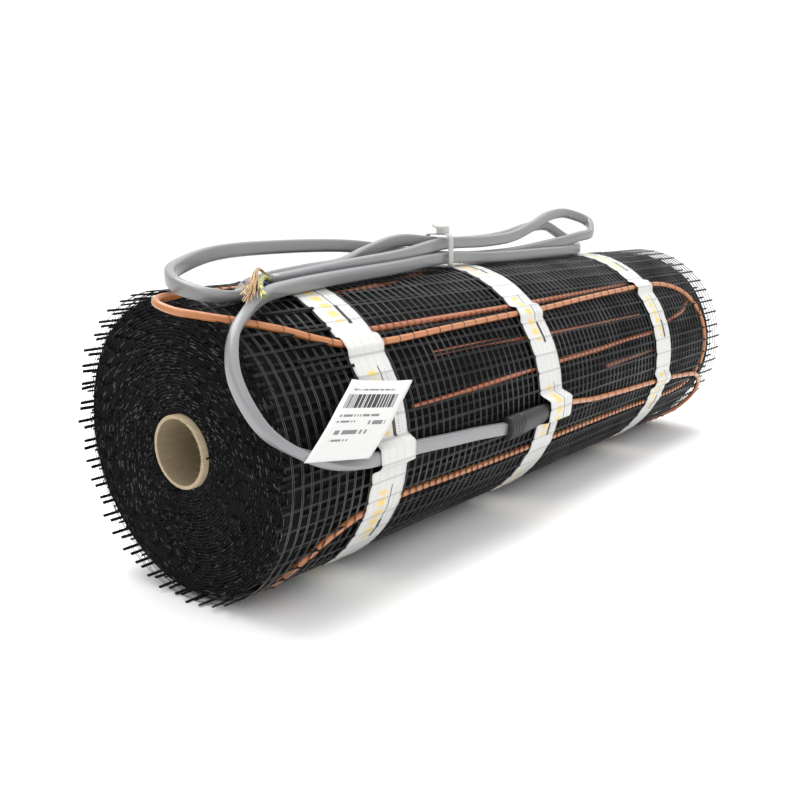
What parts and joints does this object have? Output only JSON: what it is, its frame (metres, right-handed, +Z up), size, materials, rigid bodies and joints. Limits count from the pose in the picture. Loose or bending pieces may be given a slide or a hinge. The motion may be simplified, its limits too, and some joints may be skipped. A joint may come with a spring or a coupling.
{
  "type": "underfloor heating mat",
  "caption": "Rolled electric underfloor heating mat: black mesh on a cardboard tube, white tapes holding the heating cable, flat grey cold lead tied in a hank on top.",
  "frame": {"origin": "on the floor, under the middle of the roll, on the facet of the roll that rests on it", "axes": "+X along the roll towards the end without the label, +Z up, the cold lead's joint on the -Y side"},
  "size_m": [0.5177, 0.1581, 0.1817],
  "materials": {
    "cardboard": "matt kraft board, lighter fibres at the cut rim",
    "black_mesh": "black woven glass and polymer mesh, satin threads",
    "heating_cable": "copper-orange fluoropolymer sheath, satin",
    "white_tape": "white adhesive tape, the mesh showing through in relief",
    "black_joint": "black heat-shrink sleeve, satin",
    "grey_sheath": "grey PVC sheath, soft satin",
    "label_paper": null,
    "clear_nylon": "natural translucent nylon",
    "earth_insulation": "green and yellow striped insulation",
    "neutral_insulation": "dark blue insulation",
    "copper_strands": "bare copper strands, fanned out"
  },
  "bodies": {
    "root": {"cardboard_tube": "cardboard", "mat_roll": "black_mesh", "heating_cable_outer_turn": "heating_cable", "heating_cable_first_run": "heating_cable", "tape_left": "white_tape", "tape_middle": "white_tape", "tape_right": "white_tape", "cable_joint": "black_joint", "cold_lead": "grey_sheath", "flag_label": "label_paper", "cable_tie": "clear_nylon", "conductor_earth": "earth_insulation", "conductor_neutral": "neutral_insulation", "screen_strands": "copper_strands"}
  },
  "joints": []
}
